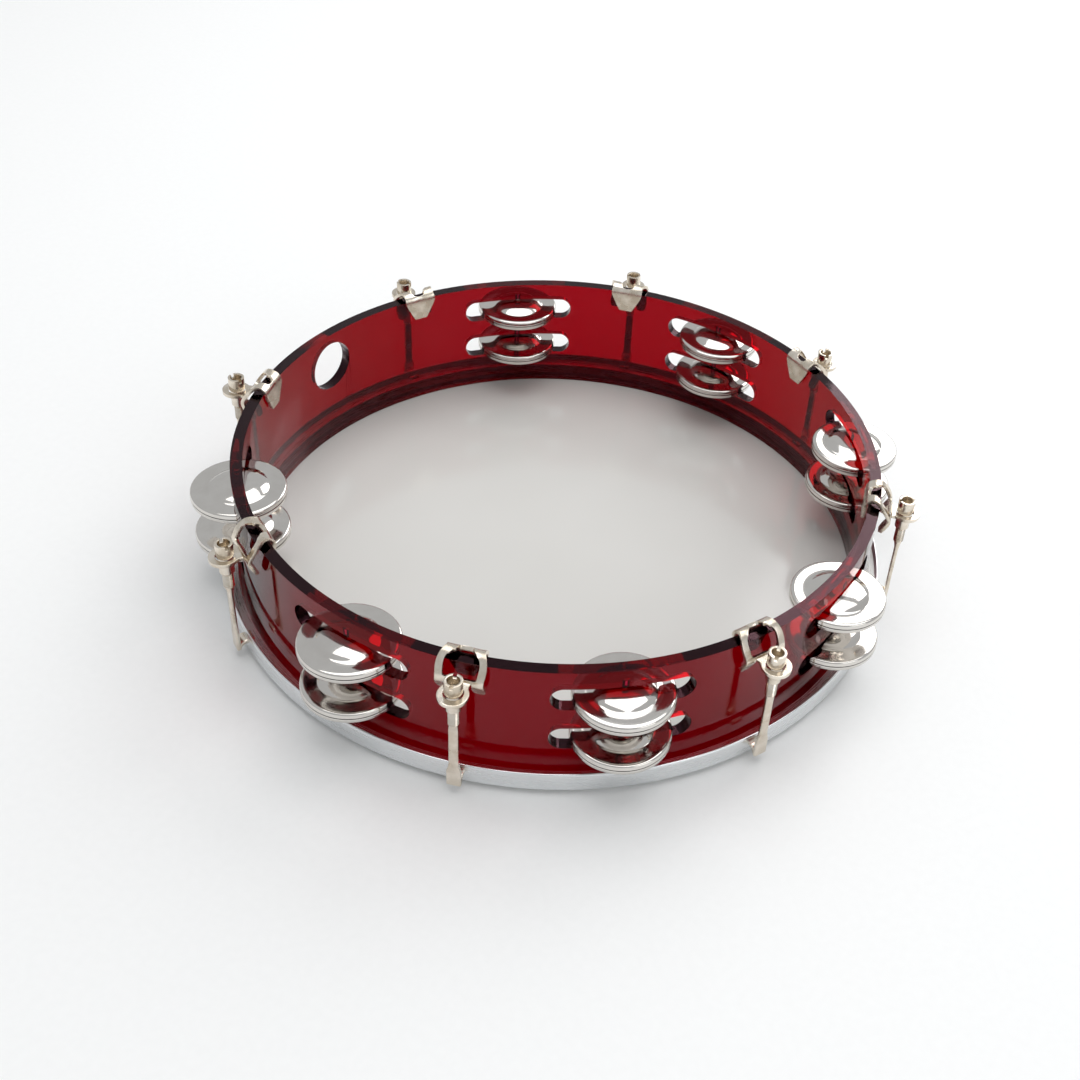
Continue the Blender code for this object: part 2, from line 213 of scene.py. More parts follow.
def report(piece):
    """Print a piece's size and number of faces."""
    size = [f"{edge / MM:.1f}" for edge in piece.dimensions]
    print(f"{piece.name}: {' x '.join(size)} mm, {len(piece.data.polygons)} faces")

# %% [markdown]
# ## The ring: a strip that is slotted flat and then rolled
#
# The real ring is a slice of cast acrylic tube whose slots are routed and whose edges are polished.
# Cutting slots in a round wall leaves uneven facets, so here the wall is made as a long flat bar.
# The bar is subdivided along its length in two passes, which together make 432 short lengths. The
# slots and the finger hole are cut by Boolean, the edges are rounded, and only then a Simple Deform
# bend of a full turn rolls it up. The seam falls close to a claw.

# %% A flat bar as long as the ring's middle line
SEAM_TURN = BAY_ANGLE / 2
strip_length = 2 * math.pi * WALL_MIDDLE
clear_selection()
bpy.ops.mesh.primitive_cube_add(size=1, location=(0, 0, (RING_FOOT + RIM) / 2),
                                scale=(strip_length, RING_WALL, RIM - RING_FOOT))
ring = named("clear_ring")
settle(ring)
bpy.ops.object.mode_set(mode="EDIT")
for cuts in (17, 23):
    pick_lengthwise(ring)
    bpy.ops.mesh.subdivide(number_cuts=cuts)
bpy.ops.object.mode_set(mode="OBJECT")
report(ring)

# %% Routed slots and the finger hole
SLOT_LENGTH = 50.0 * MM
SLOT_HEIGHT = 10.0 * MM
FINGER_HOLE_RADIUS = 11.0 * MM
FINGER_HOLE_HEIGHT = 37.3 * MM


def flat_place(bay):
    """Where a bay's middle lies along the flat bar."""
    angle = (bay - 1) * BAY_ANGLE - SEAM_TURN
    return (angle if angle < math.pi else angle - 2 * math.pi) * WALL_MIDDLE


def cutting_tool(x, z, radius, straight, points):
    """A round cutter lying across the wall, its two halves drawn apart to cut a slot."""
    clear_selection()
    bpy.ops.mesh.primitive_cylinder_add(vertices=points, radius=radius, depth=3 * RING_WALL,
                                        rotation=(math.pi / 2, 0, 0))
    tool = named("cutter")
    settle(tool)
    bpy.ops.object.mode_set(mode="EDIT")
    if straight:
        bpy.ops.mesh.select_all(action="SELECT")
        bpy.ops.mesh.bisect(plane_co=(0, 0, 0), plane_no=(1, 0, 0))
        for side in (1, -1):
            pick(tool, "VERT", lambda co: side * co.x > NEAR)
            bpy.ops.transform.translate(value=(side * straight / 2, 0, 0))
    bpy.ops.mesh.select_all(action="SELECT")
    bpy.ops.transform.translate(value=(x, 0, z))
    bpy.ops.object.mode_set(mode="OBJECT")
    return tool


tools = [cutting_tool(flat_place(bay), height, SLOT_HEIGHT / 2, SLOT_LENGTH - SLOT_HEIGHT, 32)
         for bay in JINGLE_BAYS for height in ROWS.values()]
tools.append(cutting_tool(flat_place(FINGER_BAY), FINGER_HOLE_HEIGHT, FINGER_HOLE_RADIUS, 0, 64))
only(tools[0])
for tool in tools:
    tool.select_set(True)
bpy.ops.object.join()
cutter = bpy.context.object
apply_modifier(ring, "BOOLEAN", operation="DIFFERENCE", solver="EXACT", object=cutter)
drop(cutter)
report(ring)

# %% Open the ends, round the edges and roll the bar up
POLISHED_EDGE = 0.65 * MM
only(ring)
bpy.ops.object.mode_set(mode="EDIT")
pick(ring, "FACE", lambda co: abs(co.x) > strip_length / 2 - NEAR)
bpy.ops.mesh.delete(type="ONLY_FACE")
bpy.ops.object.mode_set(mode="OBJECT")
soften(ring, POLISHED_EDGE, segments=3)
apply_modifier(ring, "SIMPLE_DEFORM", deform_method="BEND", deform_axis="Z", angle=2 * math.pi)
ring.data.transform(Matrix.Rotation(math.pi / 2 + SEAM_TURN, 4, "Z")
                    @ Matrix.Translation((0, -WALL_MIDDLE, 0)))
tidy_shell(ring)
bpy.ops.object.shade_smooth_by_angle(angle=math.radians(35))
report(ring)

# %% [markdown]
# ## The jingle pins
#
# One steel pin runs down inside the wall of each jingle bay, across both slots. It shows as a grey
# line in the clear wall and is what the jingles slide on. A short fat circle is extruded and its
# ends are chamfered.

# %% Pins
PIN_RADIUS = 1.2 * MM
PIN_FOOT = 12.5 * MM
PIN_TOP = 47.6 * MM
clear_selection()
bpy.ops.mesh.primitive_circle_add(vertices=20, radius=PIN_RADIUS, fill_type="NGON",
                                  location=(0, 0, PIN_FOOT))
pin = named("pin_pattern")
settle(pin)
bpy.ops.object.mode_set(mode="EDIT")
bpy.ops.mesh.select_all(action="SELECT")
bpy.ops.mesh.extrude_region_move(TRANSFORM_OT_translate={"value": (0, 0, PIN_TOP - PIN_FOOT)})
bpy.ops.object.mode_set(mode="OBJECT")
tidy_shell(pin)
soften(pin, 0.3 * MM)
remember_place(pin)
pins = {bay: place_copy(pin, f"jingle_pin_{bay}", WALL_MIDDLE, (bay - 1) * BAY_ANGLE)
        for bay in JINGLE_BAYS}
drop(pin)
report(pins[1])

# %% [markdown]
# ## The drumhead
#
# A polyester film is pressed flat with an upturned collar, which the hoop's channel grips. It is a
# lathe shape: a flat sheet, a small curve where it turns over the ring's edge, and the collar.

# %% Drumhead
FILM = 0.3 * MM
film_outer = [(0.0, 0.0), (60.0, 0.0), (110.0, 0.0), (125.6, 0.0), (127.6, 0.05), (128.8, 0.35),
              (129.5, 0.9), (129.95, 1.7), (130.05, 2.6), (130.05, 4.7)]
film_inner = [(129.75, 4.7), (129.75, 2.7), (129.6, 1.9), (129.2, 1.2), (128.6, 0.7),
              (127.5, 0.36), (125.6, 0.3), (110.0, 0.3), (60.0, 0.3), (0.0, 0.3)]
head = lathe("stretched_film", [(r * MM, z * MM) for r, z in film_outer + film_inner], 240)
only(head)
bpy.ops.object.shade_smooth_by_angle(angle=math.radians(40))
report(head)

# %% [markdown]
# ## The flesh hoop
#
# The hoop is a rolled aluminium channel, open below, that grips the film's collar. Its outer wall
# rises as a thin lip, with a trough between the lip and the ring. It is turned from its section and
# its edges are rounded, since the real rolled edge catches a line of light.

# %% Flesh hoop
hoop_profile = [(133.0, 9.7), (133.4, 9.3), (133.4, 2.2), (132.9, 1.7), (130.5, 1.7), (130.5, 5.2),
                (129.4, 5.2), (129.4, 1.7), (128.2, 1.7), (128.2, 6.3), (132.4, 6.3), (132.4, 9.7)]
hoop = lathe("flesh_hoop", [(r * MM, z * MM) for r, z in hoop_profile], 360)
soften(hoop, 0.25 * MM, segments=3)
report(hoop)

# %% [markdown]
# ## A claw, folded from a strip of sheet
#
# Each claw is one nickel-plated stamping. Its tongue lies on the inner wall, two arms arch over the
# rim and slope down round a window with a rounded top, a cross bar joins them outside, a round ear
# stands out from the bar to carry the nut, and two rounded feet hang from it and bear back on the
# ring. It is made as it is in the press: an edge is extruded along the bend line, row by row, the
# window is punched out, and then the sheet gets its thickness. A row is (distance out from the
# tongue, height above the rim, half-width), in millimetres.

# %% The strip, from the tongue's tip over the rim to the cross bar
SHEET = 1.4 * MM
COLUMNS = 12
TONGUE = RING_RADIUS - RING_WALL - 0.6 * MM - SHEET / 2
EAR_LEVEL = EAR_TOP - SHEET / 2
EAR_ABOVE_RIM = (EAR_LEVEL - RIM) / MM
claw_rows = [(0.0, -8.8, 2.9), (0.0, -7.4, 3.6), (0.0, -5.8, 4.5), (0.0, -4.0, 5.4),
             (0.0, -2.2, 6.4), (0.0, -0.4, 7.2), (0.3, 1.2, 7.2), (1.3, 2.4, 6.9),
             (2.7, 3.0, 6.9), (4.2, 2.9, 7.6), (5.7, 2.0, 8.4), (7.0, 0.6, 8.8),
             (8.1, -0.9, 8.9), (9.0, -2.3, 8.7), (9.6, -3.4, 8.5), (10.1, EAR_ABOVE_RIM, 8.4)]
clear_selection()
bpy.ops.mesh.primitive_plane_add(size=1 * MM)
claw = named("claw_pattern")
bpy.ops.object.mode_set(mode="EDIT")
pick(claw, "EDGE", lambda co: abs(co.x) > 0.4 * MM)
bpy.ops.mesh.subdivide(number_cuts=COLUMNS - 1)
bpy.ops.object.mode_set(mode="OBJECT")
row_points = [(TONGUE + out * MM, RIM + up * MM, half * MM) for out, up, half in claw_rows]
for vertex in claw.data.vertices:
    radius, height, half = row_points[0 if vertex.co.x < 0 else 1]
    vertex.co = (radius, 2 * half * vertex.co.y / MM, height)
bpy.ops.object.mode_set(mode="EDIT")
for last, this in zip(row_points[1:], row_points[2:]):
    pick(claw, "VERT", lambda co: abs(co.x - last[0]) + abs(co.z - last[1]) < NEAR)
    step = (this[0] - last[0], 0, this[1] - last[1])
    bpy.ops.mesh.extrude_region_move(TRANSFORM_OT_translate={"value": step})
    bpy.ops.transform.resize(value=(1, this[2] / last[2], 1),
                             center_override=(this[0], 0, this[1]))
bpy.ops.object.mode_set(mode="OBJECT")
report(claw)

# %% Punch the window
COLUMN_STEP = 4 / 3 * MM


def in_window(co):
    """A face inside the window, whose top is rounded by narrower first rows."""
    out, up = co.x - TONGUE, co.z - RIM
    if out < 1.6 * MM or up < -3.2 * MM:
        return False
    columns = 2 if out < 4.0 * MM else 3 if out < 5.5 * MM else 4
    return abs(co.y) < columns * COLUMN_STEP


def round_window(co):
    """A point near the window's rounded top."""
    return TONGUE + 1 * MM < co.x < TONGUE + 7.5 * MM and abs(co.y) < 6.3 * MM


bpy.ops.object.mode_set(mode="EDIT")
pick(claw, "FACE", in_window)
bpy.ops.mesh.delete(type="FACE")
pick(claw, "VERT", round_window)
bpy.ops.mesh.vertices_smooth(factor=0.5, repeat=2)
bpy.ops.object.mode_set(mode="OBJECT")
report(claw)

# %% Bend out the ear and bring down the feet
EAR_RADIUS = 5.7 * MM
EAR_MIDDLE = ROD_AXIS + 0.7 * MM
EAR_HOLE = 3.15 * MM
EAR_POINTS = 24
# Each step of a foot: radius round the ring, depth below the rim, and change of width
foot_steps = [(130.8, 6.1, 1.15), (129.9, 7.8, 1.08), (129.0, 9.5, 0.95), (128.4, 10.9, 0.62)]
bpy.ops.object.mode_set(mode="EDIT")
root = row_points[-1]
column = 2 * root[2] / COLUMNS
for side in (1, -1):
    x0, z0 = root[:2]
    for radius, depth, widen in foot_steps:
        x1, z1 = radius * MM, RIM - depth * MM
        pick(claw, "VERT", lambda co: side * co.y > 2.5 * column
             and abs(co.x - x0) + abs(co.z - z0) < NEAR)
        bpy.ops.mesh.extrude_region_move(TRANSFORM_OT_translate={"value": (x1 - x0, 0, z1 - z0)})
        bpy.ops.transform.resize(value=(1, widen, 1),
                                 center_override=(x1, side * 4.5 * column, z1))
        x0, z0 = x1, z1
bpy.ops.mesh.select_all(action="DESELECT")
bpy.ops.mesh.primitive_circle_add(vertices=EAR_POINTS, radius=EAR_RADIUS,
                                  location=(EAR_MIDDLE, 0, EAR_LEVEL))
bpy.ops.mesh.extrude_region_move()
bpy.ops.transform.resize(value=(EAR_HOLE / EAR_RADIUS,) * 3,
                         center_override=(EAR_MIDDLE, 0, EAR_LEVEL))
bpy.ops.transform.translate(value=(ROD_AXIS - EAR_MIDDLE, 0, 0))


def on_ear_joint(co):
    """Edges in the middle of the cross bar and of the ear's arc that faces it."""
    if abs(co.z - EAR_LEVEL) > NEAR:
        return False
    if abs(co.x - root[0]) < NEAR:
        return abs(co.y) < 3 * column
    out = Vector((co.x - EAR_MIDDLE, co.y))
    facing = math.pi - abs(math.atan2(out.y, out.x))
    return 0.97 * EAR_RADIUS < out.length < EAR_RADIUS and facing < math.pi / 4


print("joined edges:", pick(claw, "EDGE", on_ear_joint))
bpy.ops.mesh.bridge_edge_loops()
bpy.ops.object.mode_set(mode="OBJECT")
report(claw)

# %% Smooth the outline, give the sheet its thickness and set the claws round the rim
tidy_shell(claw)
apply_modifier(claw, "SUBSURF", levels=2, render_levels=2)
apply_modifier(claw, "SMOOTH", factor=0.5, iterations=8)
apply_modifier(claw, "SOLIDIFY", thickness=SHEET, offset=0.0, use_even_offset=True)
soften(claw, 0.22 * MM, segments=2, angle=50)
remember_place(claw)
claws = [place_copy(claw, f"pressed_claw_{i + 1}", 0, STATIONS[i])
         for i in range(BAYS)]
drop(claw)
report(claws[0])

# %% [markdown]
# ## A tube nut
#
# The nut is a turned tube with a head that stands on the ear and a thinner sleeve that goes through
# it. A screwdriver slot crosses the top. It is turned about its own axis, and the slot is cut by a
# thin bar. Each nut was left at its own angle when the head was tuned.

# %% Tube nuts
NUT_SEAT = EAR_TOP + GAP
NUT_HEAD = 5.4 * MM
nut_profile = [(3.2, 5.4), (3.2, 0.0), (2.75, 0.0), (2.75, -7.4), (2.5, -7.7), (2.25, -7.7),
               (2.25, 5.4)]
nut = lathe("nut_pattern", [(r * MM, NUT_SEAT + z * MM) for r, z in nut_profile], 48)
clear_selection()
bpy.ops.mesh.primitive_cube_add(size=1, location=(0, 0, NUT_SEAT + NUT_HEAD),
                                scale=(12 * MM, 1.3 * MM, 3.2 * MM))
slot_bar = named("cutter")
settle(slot_bar)
apply_modifier(nut, "BOOLEAN", operation="DIFFERENCE", solver="EXACT", object=slot_bar)
drop(slot_bar)
soften(nut, 0.22 * MM, segments=2)
remember_place(nut)
NUT_TURNS = [0.3, 1.1, 2.0, 0.7, 2.6, 1.6, 0.1, 2.3]
report(nut)

# %% [markdown]
# ## A hook rod
#
# The rod is 4 mm round bar. Its top is threaded, its lower part is pressed into a flat strap and
# its end is bent under the hoop. A filled circle is extruded down section by section and pressed
# flat, the bend is made with spin, and the thread is a zigzag that a Screw modifier winds up, cut
# square at both ends by bisect.

# %% Rod, strap and hook
ROD_RADIUS = 2.0 * MM
ROD_POINTS = 24
THREAD_FOOT = 34.0 * MM
THREAD_TOP = 50.5 * MM
STRAP_HALF = 0.8 * MM
HOOP_FOOT = 1.7 * MM
FOOT_LEVEL = HOOP_FOOT - GAP - STRAP_HALF
BEND = 3.0 * MM
HOOK_TIP = 3.1 * MM


def section(half_x, half_y, squareness):
    """Points round a bar: squareness 2 is an ellipse and 6 is a strap with round edges."""
    points = []
    for i in range(ROD_POINTS):
        angle = 2 * math.pi * i / ROD_POINTS
        c, s = math.cos(angle), math.sin(angle)
        points.append((half_x * math.copysign(abs(c) ** (2 / squareness), c),
                       half_y * math.copysign(abs(s) ** (2 / squareness), s)))
    return points


rod_sections = [(THREAD_FOOT + 1 * MM, 1.66, 1.66, 2), (THREAD_FOOT - 0.4 * MM, 1.66, 1.66, 2),
                (33.0 * MM, 1.4, 1.7, 2.6), (31.0 * MM, 0.9, 1.75, 5), (29.0 * MM, 0.8, 1.7, 6),
                (14.0 * MM, 0.8, 1.7, 6), (12.0 * MM, 0.8, 2.1, 6), (10.4 * MM, 0.8, 2.6, 6),
                (FOOT_LEVEL + BEND, 0.8, 2.6, 6)]
clear_selection()
bpy.ops.mesh.primitive_circle_add(vertices=ROD_POINTS, radius=ROD_RADIUS, fill_type="NGON")
rod = named("rod_pattern")
for number, (height, half_x, half_y, squareness) in enumerate(rod_sections):
    only(rod)
    bpy.ops.object.mode_set(mode="EDIT")
    if number:
        pick(rod, "FACE", lambda co: abs(co.z - last_height) < NEAR)
        bpy.ops.mesh.extrude_region_move(
            TRANSFORM_OT_translate={"value": (0, 0, height - last_height)})
    bm = bmesh.from_edit_mesh(rod.data)
    ring_points = [v for v in bm.verts if v.select or not number]
    ring_points.sort(key=lambda v: math.atan2(v.co.y, v.co.x) % (2 * math.pi - 1e-4))
    for vertex, (x, y) in zip(ring_points, section(half_x * MM, half_y * MM, squareness)):
        vertex.co = (x, y, height)
    bmesh.update_edit_mesh(rod.data)
    last_height = height
pick(rod, "FACE", lambda co: abs(co.z - last_height) < NEAR)
bpy.ops.mesh.spin(steps=8, angle=math.pi / 2, center=(-BEND, 0, last_height), axis=(0, 1, 0))
bpy.ops.mesh.extrude_region_move(TRANSFORM_OT_translate={"value": (-HOOK_TIP, 0, 0)})
bpy.ops.object.mode_set(mode="OBJECT")
tidy_shell(rod)
soften(rod, 0.25 * MM, segments=2, angle=50)
report(rod)

# %% Thread
PITCH = 0.7 * MM
THREAD_ROOT = 1.62 * MM
clear_selection()
bpy.ops.mesh.primitive_circle_add(vertices=3, radius=1 * MM)
thread = named("thread_pattern")
wire = [(THREAD_ROOT, 0.0), (ROD_RADIUS, PITCH / 2), (THREAD_ROOT, PITCH)]
for vertex, (radius, height) in zip(thread.data.vertices, wire):
    vertex.co = (radius, 0, THREAD_FOOT - 2 * PITCH + height)
bpy.ops.object.mode_set(mode="EDIT")
pick(thread, "EDGE", lambda co: abs(co.x - THREAD_ROOT) < NEAR)
bpy.ops.mesh.delete(type="EDGE")
bpy.ops.object.mode_set(mode="OBJECT")
turns = math.ceil((THREAD_TOP - THREAD_FOOT) / PITCH) + 4
apply_modifier(thread, "SCREW", axis="Z", angle=2 * math.pi, screw_offset=PITCH, iterations=turns,
               steps=24, render_steps=24, use_merge_vertices=True, merge_threshold=0.01 * MM)
tidy_shell(thread)
bpy.ops.object.mode_set(mode="EDIT")
bpy.ops.mesh.select_all(action="SELECT")
bpy.ops.mesh.bisect(plane_co=(0, 0, THREAD_FOOT), plane_no=(0, 0, 1), use_fill=True,
                    clear_inner=True)
bpy.ops.mesh.select_all(action="SELECT")
bpy.ops.mesh.bisect(plane_co=(0, 0, THREAD_TOP), plane_no=(0, 0, 1), use_fill=True,
                    clear_outer=True)
bpy.ops.object.mode_set(mode="OBJECT")
tidy_shell(thread)
bpy.ops.object.shade_smooth_by_angle(angle=math.radians(35))
report(thread)
only(rod)
thread.select_set(True)
bpy.ops.object.join()
remember_place(rod)
report(rod)

# %% Set the hooks and nuts round the ring
hooks = []
nuts = []
for i in range(BAYS):
    hooks.append(place_copy(rod, f"threaded_hook_{i + 1}", ROD_AXIS, STATIONS[i]))
    turned_nut = place_copy(nut, f"slotted_nut_{i + 1}", 0, NUT_TURNS[i])
    turned_nut.data.transform(Matrix.Rotation(STATIONS[i], 4, "Z")
                              @ Matrix.Translation((ROD_AXIS, 0, 0)))
    nuts.append(turned_nut)
drop(rod)
drop(nut)

# %% [markdown]
# ## A jingle
#
# Jingles are spun from thin nickel-plated sheet: a raised dome with the pin hole, a soft step, a
# nearly flat brim and a turned-down lip that ends in a small bead. Two lie rim to rim in each slot.
# One is turned on the lathe, and its partner is the same shape turned over.

# %% Jingles
dome = [(1.9, 4.2), (4.0, 4.16), (6.0, 4.02), (8.0, 3.7), (9.3, 3.3), (10.3, 2.85), (11.0, 2.4),
        (11.5, 2.1), (12.1, 1.96), (14.2, 1.94), (16.2, 2.0), (16.9, 1.98), (17.4, 1.86),
        (17.75, 1.6), (17.88, 1.25), (17.86, 0.75), (17.98, 0.5), (18.0, 0.25), (17.88, 0.0)]
under = [(17.55, 0.0), (17.42, 0.25), (17.36, 0.8), (17.2, 1.2), (16.8, 1.45), (16.1, 1.5),
         (14.2, 1.44), (12.0, 1.46), (11.2, 1.7), (10.6, 2.1), (10.0, 2.45), (9.1, 2.8),
         (7.8, 3.2), (6.0, 3.5), (4.0, 3.64), (1.9, 3.68)]
jingle = lathe("jingle_pattern", [(r * MM, z * MM) for r, z in dome + under], 96)
only(jingle)
bpy.ops.object.shade_smooth_by_angle(angle=math.radians(40))
remember_place(jingle)
turned_over = place_copy(jingle, "jingle_turned_over", 0, 0)
turned_over.data.transform(Matrix.Rotation(math.pi, 4, "X"))
JINGLE_HEIGHT = 4.2 * MM
jingles = {}
for bay in JINGLE_BAYS:
    for row, height in ROWS.items():
        rest = height - SLOT_HEIGHT / 2 + GAP + JINGLE_HEIGHT
        for half, pattern, rim in (("lower", turned_over, rest), ("upper", jingle, rest + GAP)):
            node = f"jingle_{bay}_{row}_{half}"
            jingles[node] = place_copy(pattern, f"spun_{node}", WALL_MIDDLE,
                                       (bay - 1) * BAY_ANGLE, rim)
drop(jingle)
drop(turned_over)
report(jingles["jingle_1_low_upper"])
print("jingles:", len(jingles))

# %% [markdown]
# ## Finishes
#
# Every finish starts from the real material. `add_node` adds one node with its settings and links,
# and `linear` turns an sRGB hex colour to the linear values that the shader wants. Patterns are
# sized in real millimetres: a noise of scale 1/size gives blotches of that size.

# %% Material helpers
def linear(hex_colour):
    """An sRGB hex colour as linear RGBA."""
    parts = [int(hex_colour[i:i + 2], 16) / 255 for i in (1, 3, 5)]
    return (*[c / 12.92 if c <= 0.04045 else ((c + 0.055) / 1.055) ** 2.4 for c in parts], 1.0)


def add_node(tree, kind, settings=None, links=None):
    """Add a node, set its properties or inputs, and link its inputs to other nodes' outputs."""
    node = tree.nodes.new(kind)
    for key, value in (settings or {}).items():
        if isinstance(key, int) or key in node.inputs:
            node.inputs[key].default_value = value
        else:
            setattr(node, key, value)
    for key, source in (links or {}).items():
        tree.links.new(source, node.inputs[key])
    return node


def new_finish(name, **settings):
    """A material with its Principled shader's constants set on the shader's own sockets."""
    material = bpy.data.materials.new(name)
    material.use_nodes = True
    shader = material.node_tree.nodes["Principled BSDF"]
    for key, value in settings.items():
        shader.inputs[key.replace("_", " ")].default_value = value
    return material, material.node_tree, shader


def per(size_mm):
    """Noise scale for blotches of a size in millimetres."""
    return 1 / (size_mm * MM)


def blend_colours(tree, factor, first, second):
    """Mix two hex colours by a pattern."""
    mix = add_node(tree, "ShaderNodeMix", {"data_type": "RGBA"}, {0: factor})
    mix.inputs[6].default_value = linear(first)
    mix.inputs[7].default_value = linear(second)
    return mix.outputs[2]


def spread(tree, value, low, high, out_low, out_high):
    """Stretch part of a pattern's range to another range."""
    return add_node(tree, "ShaderNodeMapRange", {1: low, 2: high, 3: out_low, 4: out_high},
                    {0: value}).outputs[0]

# %% [markdown]
# ### Cast acrylic, ruby red
#
# Polished cast acrylic is a clear solid with an IOR of 1.49. The dye colours light by the length of
# its path, so the flat wall looks ruby and the rim, seen edge on, nearly black. That needs volume
# absorption and not a surface colour. The dye takes up green at once and blue more slowly, so the
# shortest paths look pink, and the gloss is tinted by light that comes back out of the dyed wall.
# Handling leaves fine rub marks that show in the gloss.

# %% Ruby acrylic
acrylic, tree, shader = new_finish("cast_acrylic_ruby_polished", IOR=1.49, Transmission_Weight=1.0,
                                   Specular_IOR_Level=0.45, Specular_Tint=linear("#d98096"))
place = add_node(tree, "ShaderNodeTexCoord").outputs["Object"]
cloud = add_node(tree, "ShaderNodeTexNoise", {"Scale": per(30), "Detail": 3.0}, {"Vector": place})
rubs = add_node(tree, "ShaderNodeTexNoise", {"Scale": per(2.5), "Detail": 6.0, "Roughness": 0.7},
                {"Vector": place})
colour = blend_colours(tree, cloud.outputs[0], "#f7d9de", "#efc3cb")
tree.links.new(colour, shader.inputs["Base Color"])
tree.links.new(spread(tree, rubs.outputs[0], 0.35, 0.75, 0.015, 0.09), shader.inputs["Roughness"])
ripple = add_node(tree, "ShaderNodeBump", {"Strength": 0.12, "Distance": 0.2 * MM},
                  {"Height": cloud.outputs[0]})
tree.links.new(ripple.outputs[0], shader.inputs["Normal"])
dye = add_node(tree, "ShaderNodeVolumeAbsorption",
               {"Color": (0.91, 0.20, 0.60, 1.0), "Density": 2800.0})
tree.links.new(dye.outputs[0], tree.nodes["Material Output"].inputs["Volume"])
print("finish:", acrylic.name)

# %% [markdown]
# ### Polyester film, milky
#
# The film is glossy plastic, IOR about 1.6, whitened by fine pigment. It is never perfectly even:
# the tone clouds over centimetres and the stretched skin has a very faint texture that blurs what
# it mirrors.

# %% Milky film
film_finish, tree, shader = new_finish("polyester_film_milky", IOR=1.6)
place = add_node(tree, "ShaderNodeTexCoord").outputs["Object"]
cloud = add_node(tree, "ShaderNodeTexNoise", {"Scale": per(70), "Detail": 2.0}, {"Vector": place})
skin = add_node(tree, "ShaderNodeTexNoise", {"Scale": per(1.2), "Detail": 3.0}, {"Vector": place})
colour = blend_colours(tree, cloud.outputs[0], "#dddcd8", "#d4d3ce")
tree.links.new(colour, shader.inputs["Base Color"])
tree.links.new(spread(tree, skin.outputs[0], 0.3, 0.7, 0.1, 0.17), shader.inputs["Roughness"])
texture = add_node(tree, "ShaderNodeBump", {"Strength": 0.08, "Distance": 0.05 * MM},
                   {"Height": skin.outputs[0]})
tree.links.new(texture.outputs[0], shader.inputs["Normal"])
print("finish:", film_finish.name)

# %% [markdown]
# ### Rolled aluminium
#
# The hoop was rolled and brushed along its length, so its fine lines run round the ring: the noise
# is squeezed to fractions of a millimetre across the band and stretched along it.

# %% Rolled aluminium
aluminium, tree, shader = new_finish("aluminium_rolled_brushed", Metallic=1.0, Anisotropic=0.35)
place = add_node(tree, "ShaderNodeTexCoord").outputs["Object"]
parts = add_node(tree, "ShaderNodeSeparateXYZ", links={0: place})
x, y, z = parts.outputs
angle = add_node(tree, "ShaderNodeMath", {"operation": "ARCTAN2"}, {0: y, 1: x}).outputs[0]
flat = add_node(tree, "ShaderNodeCombineXYZ", links={0: x, 1: y})
radius = add_node(tree, "ShaderNodeVectorMath", {"operation": "LENGTH"},
                  {0: flat.outputs[0]}).outputs["Value"]
along = add_node(tree, "ShaderNodeMath", {"operation": "MULTIPLY", 1: 4 * MM},
                 {0: angle}).outputs[0]
band = add_node(tree, "ShaderNodeCombineXYZ", links={0: radius, 1: along, 2: z})
lines = add_node(tree, "ShaderNodeTexNoise", {"Scale": per(0.45), "Detail": 4.0},
                 {"Vector": band.outputs[0]})
smudge = add_node(tree, "ShaderNodeTexNoise", {"Scale": per(18), "Detail": 4.0}, {"Vector": place})
colour = blend_colours(tree, smudge.outputs[0], "#f0f1f2", "#dde0e2")
tree.links.new(colour, shader.inputs["Base Color"])
tree.links.new(spread(tree, lines.outputs[0], 0.3, 0.7, 0.2, 0.4), shader.inputs["Roughness"])
scratch = add_node(tree, "ShaderNodeBump", {"Strength": 0.25, "Distance": 0.03 * MM},
                   {"Height": lines.outputs[0]})
tree.links.new(scratch.outputs[0], shader.inputs["Normal"])
print("finish:", aluminium.name)

# %% [markdown]
# ### Nickel plate on pressed and turned steel
#
# Barrel-plated nickel is a warm, slightly yellow silver. Small parts tumble against each other, so
# the shine is uneven, with soft dents a millimetre or two across and duller patches.

# %% Nickel plate
nickel, tree, shader = new_finish("nickel_plate_barrel_plated", Metallic=1.0)
place = add_node(tree, "ShaderNodeAttribute", {"attribute_name": "local"}).outputs["Vector"]
patch = add_node(tree, "ShaderNodeTexNoise", {"Scale": per(6), "Detail": 4.0}, {"Vector": place})
dents = add_node(tree, "ShaderNodeTexNoise", {"Scale": per(1.6), "Detail": 2.0}, {"Vector": place})
colour = blend_colours(tree, spread(tree, patch.outputs[0], 0.35, 0.65, 0, 1), "#ece3d6", "#cfc3b1")
tree.links.new(colour, shader.inputs["Base Color"])
tree.links.new(spread(tree, patch.outputs[0], 0.3, 0.7, 0.14, 0.32), shader.inputs["Roughness"])
hammered = add_node(tree, "ShaderNodeBump", {"Strength": 0.25, "Distance": 0.08 * MM},
                    {"Height": dents.outputs[0]})
tree.links.new(hammered.outputs[0], shader.inputs["Normal"])
print("finish:", nickel.name)

# %% [markdown]
# ### Mirror nickel on spun jingles
#
# Spinning leaves fine rings round the centre, and polishing brings them to a near mirror. The rings
# are a noise in the radius alone, read from the place that each point had on the lathe.

